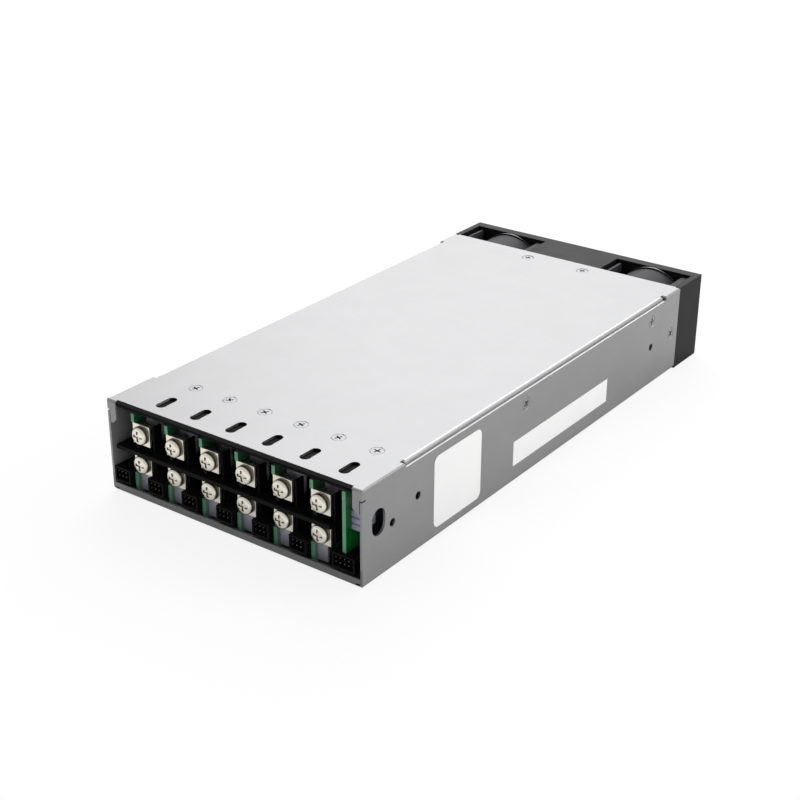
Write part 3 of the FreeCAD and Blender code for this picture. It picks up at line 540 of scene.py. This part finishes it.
def rolled_edge():
    """Wedge that takes the corner off the cover's front edge between its tabs, 1.5 mm along the top and 1 mm down."""
    made = bmesh.new()
    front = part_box("top_cover")[0].y / MM
    outline = [(front - 0.3, LID_Z - 1.2), (front - 0.3, LID_Z + 0.2), (front + 1.8, LID_Z + 0.2)]
    ends = [[made.verts.new((x * MM, y * MM, z * MM)) for y, z in outline] for x in (-TAB_INNER_X, TAB_INNER_X)]
    made.faces.new(ends[0])
    made.faces.new(ends[1][::-1])
    for k in range(3):
        n = (k + 1) % 3
        made.faces.new([ends[0][k], ends[0][n], ends[1][n], ends[1][k]])
    bmesh.ops.recalc_face_normals(made, faces=made.faces)
    return made


def make_sheet_metal():
    """Top cover and tray with dished screw holes and softened cut edges."""
    cover = new_object("cover_sheet", merged("top_cover"))
    carve(cover, new_object("wedge", rolled_edge()))
    carve(cover, join_meshes("dishes", [moved(countersink(), p) for p in LID_SCREWS]))
    finish_piece(soften(cover, 0.12), STEEL, replaces=["top_cover"])
    tray = new_object("tray_sheet", merged("chassis"))
    dishes = []
    for y, z in SIDE_SCREWS:
        dishes.append(moved(countersink(), (SIDE_X, y, z), (0, 90, 0)))
        dishes.append(moved(countersink(), (-SIDE_X, y, z), (0, -90, 0)))
    carve(tray, join_meshes("dishes", dishes))
    finish_piece(soften(tray, 0.12), STEEL, replaces=["chassis"])
    head = screw_head()
    lid = set_on_points("cover_screws", head, LID_SCREWS, (0, 0, 0), SCREW_ZINC, 20, 60, 3)
    right = [(SIDE_X, y, z) for y, z in SIDE_SCREWS]
    left = [(-SIDE_X, y, z) for y, z in SIDE_SCREWS]
    right = set_on_points("right_side_screws", head, right, (0, 90, 0), SCREW_ZINC, 30, 50, 5)
    left = set_on_points("left_side_screws", head, left, (0, -90, 0), SCREW_ZINC, 30, 50, 9)
    for screws in (lid, right, left):
        finish_piece(screws, SCREW_ZINC)
    bpy.data.objects.remove(head)


# Output terminals

def make_terminal_screws():
    """Pan heads with a wide flat-bottomed cross recess, standing on the terminal plates."""
    top = 2.2
    profile = [(0, top), (2.0, 2.18), (2.9, 2.06), (3.45, 1.8), (3.76, 1.4), (3.88, 0.9), (3.88, 0.3), (3.8, 0.02),
               (0, 0.02)]
    head = new_object("pan_head", lathe(profile, 56))
    cross_recess(head, top, length=4.6, width=1.2, depth=0.5, end_depth=0.5)
    points = [(x + TERMINAL_FROM_SLOT, PLATE_FRONT_Y, z) for x in SLOTS for z in TERMINAL_Z]
    screws = set_on_points("pan_head_screws", head, points, (90, 0, 0), TIN, 0, 4, 11)
    finish_piece(screws, TIN, replaces=["terminal_screws"])
    bpy.data.objects.remove(head)


# Fans

def blade_mesh():
    """One cambered, twisted fan blade along X from the hub, with the fan axis along Z."""
    made = bmesh.new()
    across, along = 9, 13
    root, tip = 10.2, 17.4
    root_pitch, twist = 50, 14
    root_chord, flare = 14.0, 1.5
    bow, half_thick = 1.5, 0.5
    sheets = []
    for side in (1, -1):
        rows = []
        for i in range(across):
            u = i / (across - 1)
            radius = root + u * (tip - root)
            pitch = math.radians(root_pitch - twist * u)
            row = []
            for j in range(along):
                v = j / (along - 1) - 0.5
                chord = root_chord + flare * u
                camber = bow * (1 - 4 * v * v)
                thick = half_thick * math.sqrt(max(1 - (2 * v) ** 4, 0.0)) * side
                forward = v * chord
                rise = camber + thick
                sweep = forward * math.cos(pitch) - rise * math.sin(pitch)
                depth = forward * math.sin(pitch) + rise * math.cos(pitch)
                angle = sweep / radius
                point = (radius * math.cos(angle) * MM, radius * math.sin(angle) * MM, depth * MM)
                row.append(made.verts.new(point))
            rows.append(row)
        for a, b in zip(rows, rows[1:]):
            for j in range(along - 1):
                made.faces.new([a[j], a[j + 1], b[j + 1], b[j]])
        sheets.append(rows)
    top, under = sheets
    for row_top, row_under in ((top[0], under[0]), (top[-1], under[-1])):
        for j in range(along - 1):
            made.faces.new([row_top[j], row_under[j], row_under[j + 1], row_top[j + 1]])
    bmesh.ops.remove_doubles(made, verts=made.verts, dist=0.001 * MM)
    bmesh.ops.recalc_face_normals(made, faces=made.faces)
    return made


def ring_placer():
    """Geometry Nodes tree that repeats a part round an axis along Z."""
    tree = bpy.data.node_groups.new("part_round_axis", "GeometryNodeTree")
    tree.interface.new_socket("Geometry", in_out="INPUT", socket_type="NodeSocketGeometry")
    sockets = {}
    for label, kind in (("Part", "NodeSocketObject"), ("Count", "NodeSocketInt"), ("Material", "NodeSocketMaterial")):
        sockets[label] = tree.interface.new_socket(label, in_out="INPUT", socket_type=kind).identifier
    tree.interface.new_socket("Geometry", in_out="OUTPUT", socket_type="NodeSocketGeometry")
    given = add(tree, "NodeGroupInput").outputs
    part = add(tree, "GeometryNodeObjectInfo", {"Object": given["Part"]})
    spots = add(tree, "GeometryNodePoints", {"Count": given["Count"]})
    step = add(tree, "ShaderNodeMath", {0: 2 * math.pi, 1: given["Count"]}, operation="DIVIDE")
    index = add(tree, "GeometryNodeInputIndex")
    angle = add(tree, "ShaderNodeMath", {0: index.outputs[0], 1: step.outputs[0]}, operation="MULTIPLY")
    spin = add(tree, "FunctionNodeAxisAngleToRotation", {"Axis": (0, 0, 1), "Angle": angle.outputs[0]})
    placed = add(tree, "GeometryNodeInstanceOnPoints", {
        "Points": spots.outputs[0], "Instance": part.outputs["Geometry"], "Rotation": spin.outputs[0]})
    both = add(tree, "GeometryNodeJoinGeometry")
    tree.links.new(placed.outputs[0], both.inputs[0])
    tree.links.new(given["Geometry"], both.inputs[0])
    real = add(tree, "GeometryNodeRealizeInstances", {0: both.outputs[0]})
    painted = add(tree, "GeometryNodeSetMaterial", {"Geometry": real.outputs[0], "Material": given["Material"]})
    add(tree, "NodeGroupOutput", {0: painted.outputs[0]})
    return tree, sockets


def make_rotors():
    """Impellers: a rounded hub cup with seven cambered blades each."""
    tree, sockets = ring_placer()
    blade = new_object("blade", blade_mesh())
    for side, x in (("left", -FAN_X), ("right", FAN_X)):
        low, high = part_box("fan_rotor_" + side)
        front, rear = low.y / MM, high.y / MM
        middle = (front + rear) / 2
        top = middle - front
        hub = [(0, top - 0.5), (3.0, top - 0.45), (8.6, top - 0.1), (9.7, top - 0.5), (10.3, top - 1.4),
               (10.5, top - 2.6), (10.5, -top + 0.4), (10.2, -top), (1.6, -top), (1.6, -top + 8), (0, -top + 8)]
        rotor = new_object("impeller_" + side, lathe(hub, 72))
        maker = rotor.modifiers.new("blades", "NODES")
        maker.node_group = tree
        for label, value in (("Part", blade), ("Count", BLADES), ("Material", FAN_BLACK)):
            maker[sockets[label]] = value
        settle(rotor)
        turn = Euler((math.radians(90), 0, 0)).to_matrix().to_4x4()
        rotor.data.transform(Matrix.Translation(Vector((x, middle, FAN_Z)) * MM) @ turn)
        finish_piece(rotor, FAN_BLACK, side + "_fan", ["fan_rotor_" + side], 40)
    bpy.data.objects.remove(blade)


# Other pieces: the CAD solids with softened edges

def seat_ring(x, y_wall):
    """Part ring on the inside of the rear wall, round the top of a fan barrel."""
    made = bmesh.new()
    y_front = y_wall - RIM_PROUD
    corners = [(RIM_INNER, y_front), (RIM_OUTER, y_front), (RIM_OUTER, y_wall), (RIM_INNER, y_wall)]
    first, span, steps = 15, 150, 60
    rows = []
    for k in range(steps + 1):
        angle = math.radians(first + span * k / steps)
        points = [(x + r * math.cos(angle), y, FAN_Z + r * math.sin(angle)) for r, y in corners]
        rows.append([made.verts.new((px * MM, py * MM, pz * MM)) for px, py, pz in points])
    for a, b in zip(rows, rows[1:]):
        for k in range(4):
            n = (k + 1) % 4
            made.faces.new([a[k], a[n], b[n], b[k]])
    made.faces.new(rows[0])
    made.faces.new(rows[-1][::-1])
    bmesh.ops.recalc_face_normals(made, faces=made.faces)
    return made


def make_rear_housing():
    """Rear housing and the polished rims on its rear wall, in which the two fans sit."""
    piece = new_object("rear_housing", merged("fan_housing"))
    finish_piece(soften(piece, 0.2), HOUSING_BLACK, replaces=["fan_housing"])
    y_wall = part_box("fan_frame_left")[1].y / MM + FAN_REAR_GAP
    rims = join_meshes("fan_seat_rims", [seat_ring(x, y_wall) for x in (-FAN_X, FAN_X)])
    finish_piece(soften(rims, 0.25), RIM_BLACK)


def make_side_plug():
    """Pale connector with two grooves moulded across its front."""
    groove_depth, groove_height = 1.2, 0.7
    low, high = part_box("side_connector")
    piece = new_object("side_plug_shroud", merged("side_connector"))
    for share in (0.32, 0.66):
        z = low.z + share * (high.z - low.z)
        groove = bmesh.new()
        bmesh.ops.create_cube(groove, size=1.0)
        groove.transform(Matrix.Translation(((low.x + high.x) / 2, low.y, z)) @ Matrix.Diagonal(
            (high.x - low.x + 2 * MM, groove_depth * MM, groove_height * MM, 1)))
        carve(piece, new_object("groove", groove))
    finish_piece(soften(piece, 0.12), CONNECTOR_GREY, replaces=["side_connector"])


def make_softened():
    """Mouldings, terminal plates, pins and heat-sink plates keep their CAD shape and get softened edges."""
    jobs = [("output_terminals", "terminal_plates", PLATE_TIN, "tinned_brass", 0.18),
            ("signal_headers", "header_shrouds", CONNECTOR_BLACK, "black_connector", 0.12),
            ("control_header", "control_header_shroud", CONNECTOR_BLACK, "black_connector", 0.12),
            ("mains_inlet", "inlet_shell", CONNECTOR_BLACK, "black_connector", 0.25),
            ("inlet_pins", "inlet_blades", PIN_TIN, "pin_brass", 0.35),
            ("header_pins", "header_pin_rows", PIN_TIN, "pin_brass", 0.1)]
    for side in ("left", "right"):
        jobs.append(("fan_frame_" + side, "fan_shell_" + side, FAN_BLACK, "black_moulding", 0.2))
    for number in range(1, 7):
        tag = "_" + str(number)
        jobs.append(("terminal_carrier" + tag, "carrier_moulding" + tag, CARRIER_BLACK, "black_moulding", 0.15))
        jobs.append(("module_heat_sink" + tag, "heat_sink_plate" + tag, SLATE_ALUMINIUM, "aluminium_sheet", 0.12))
    for node, name, material, slot, width in jobs:
        piece = new_object(name, merged(node))
        finish_piece(soften(piece, width), material, replaces=[node])


def paint_nodes():
    """Materials for the CAD solids that are shown as they are."""
    paints = {"cover_insulator": LINER_BLACK, "control_board": BOARD, "backplane_board": BOARD, "main_board": BOARD,
              "board_posts": ALUMINIUM, "bulk_capacitor": SLEEVE, "boost_choke": FERRITE, "line_filter_choke": FERRITE,
              "power_heat_sink": ALUMINIUM, "square_label": LABEL, "strip_label": LABEL,
              "fan_shaft_left": SHAFT_STEEL, "fan_shaft_right": SHAFT_STEEL}
    for number in range(1, 7):
        paints["module_board_" + str(number)] = MODULE_BOARD
        paints["module_transformer_" + str(number)] = FERRITE
    for node, material in paints.items():
        NODES[node].data.materials.clear()
        NODES[node].data.materials.append(material)


# Stage, light and camera

FRONT_LIGHT = 0.45
REAR_LIGHT = 1.0
SEEN_SHARE = 0.85
MIRRORED_SHARE = 0.26
AZIMUTH = math.radians(36.0735)
ELEVATION = math.radians(25.5007)
ROLL = math.radians(0.2881)
CAMERA_PLACE = (353.388, -508.860, 302.747)
FOCAL_PX = 1539.8074
PICTURE_PX = 800
SENSOR = 36.0


def make_stage():
    """Plain white floor that keeps the object's shadow and shows white to the camera and in reflections."""
    made = bmesh.new()
    bmesh.ops.create_grid(made, x_segments=1, y_segments=1, size=6.0)
    floor = new_object("floor", made)
    floor.data.transform(Matrix.Translation((0, 0, -0.1 * MM)))
    paint = bpy.data.materials.new("white_floor")
    paint.use_nodes = True
    tree = paint.node_tree
    tree.nodes.clear()
    rays = add(tree, "ShaderNodeLightPath")
    mirrored = add(tree, "ShaderNodeMath", {
        0: rays.outputs["Is Glossy Ray"], 1: rays.outputs["Is Transmission Ray"]}, operation="ADD")
    mirrored = add(tree, "ShaderNodeMath", {0: mirrored.outputs[0], 1: MIRRORED_SHARE}, operation="MULTIPLY")
    share = add(tree, "ShaderNodeMath", {
        0: rays.outputs["Is Camera Ray"], 1: SEEN_SHARE, 2: mirrored.outputs[0]}, operation="MULTIPLY_ADD")
    matte = add(tree, "ShaderNodeBsdfDiffuse", {"Color": hex_colour("#fafafa")})
    glow = add(tree, "ShaderNodeEmission", {"Color": (1, 1, 1, 1), "Strength": 1.0})
    both = add(tree, "ShaderNodeMixShader", {0: share.outputs[0], 1: matte.outputs[0], 2: glow.outputs[0]})
    add(tree, "ShaderNodeOutputMaterial", {"Surface": both.outputs[0]})
    floor.data.materials.append(paint)


def make_world():
    """Soft light from all round, stronger behind the object than in front of it, that shows white to the camera."""
    world = bpy.data.worlds.new("studio")
    bpy.context.scene.world = world
    world.use_nodes = True
    tree = world.node_tree
    tree.nodes.clear()
    toward = add(tree, "ShaderNodeSeparateXYZ", {0: add(tree, "ShaderNodeTexCoord").outputs["Generated"]})
    level = add(tree, "ShaderNodeMapRange", {"Value": toward.outputs[1], "From Min": -1.0, "From Max": 1.0,
                                             "To Min": FRONT_LIGHT, "To Max": REAR_LIGHT})
    rays = add(tree, "ShaderNodeLightPath")
    mirrored = add(tree, "ShaderNodeMath", {
        0: rays.outputs["Is Glossy Ray"], 1: rays.outputs["Is Transmission Ray"]}, operation="ADD")
    share = add(tree, "ShaderNodeMath", {
        0: mirrored.outputs[0], 1: MIRRORED_SHARE, 2: rays.outputs["Is Camera Ray"]}, operation="MULTIPLY_ADD")
    seen = add(tree, "ShaderNodeMix", {0: share.outputs[0], 2: level.outputs[0], 3: 1.0})
    sky = add(tree, "ShaderNodeBackground", {"Color": (1, 1, 1, 1), "Strength": seen.outputs[0]})
    add(tree, "ShaderNodeOutputWorld", {"Surface": sky.outputs[0]})


def add_lamp(name, place, target, size, power):
    """A square softbox aimed at a point."""
    light = bpy.data.lights.new(name, "AREA")
    light.shape = "SQUARE"
    light.size = size
    light.energy = power
    lamp = bpy.data.objects.new(name, light)
    bpy.context.scene.collection.objects.link(lamp)
    lamp.location = place
    lamp.rotation_euler = (Vector(target) - Vector(place)).to_track_quat("-Z", "Y").to_euler()


def make_camera():
    """Camera at the photograph's angle, with its place in mm."""
    level = math.cos(ELEVATION)
    back = Vector((math.sin(AZIMUTH) * level, -math.cos(AZIMUTH) * level, math.sin(ELEVATION)))
    right = Vector((math.cos(AZIMUTH), math.sin(AZIMUTH), 0))
    up = back.cross(right)
    turned_right = right * math.cos(ROLL) + up * math.sin(ROLL)
    turned_up = up * math.cos(ROLL) - right * math.sin(ROLL)
    data = bpy.data.cameras.new("camera")
    data.sensor_width = SENSOR
    data.lens = FOCAL_PX / PICTURE_PX * SENSOR
    data.clip_start = 0.01
    data.clip_end = 50
    camera = bpy.data.objects.new("camera", data)
    bpy.context.scene.collection.objects.link(camera)
    turn = Matrix((turned_right, turned_up, back)).transposed().to_4x4()
    camera.matrix_world = Matrix.Translation(Vector(CAMERA_PLACE) * MM) @ turn
    bpy.context.scene.camera = camera


make_sheet_metal()
make_terminal_screws()
make_rotors()
make_rear_housing()
make_side_plug()
make_softened()
paint_nodes()
make_stage()
make_world()
add_lamp("back_left_softbox", (-0.6, 1.0, 1.0), (0.0, -0.05, 0.04), 1.2, 14.0)
add_lamp("back_right_softbox", (1.0, 0.75, 0.6), (0.0, 0.0, 0.02), 0.6, 5.0)
make_camera()
bpy.context.scene.view_settings.view_transform = "Standard"
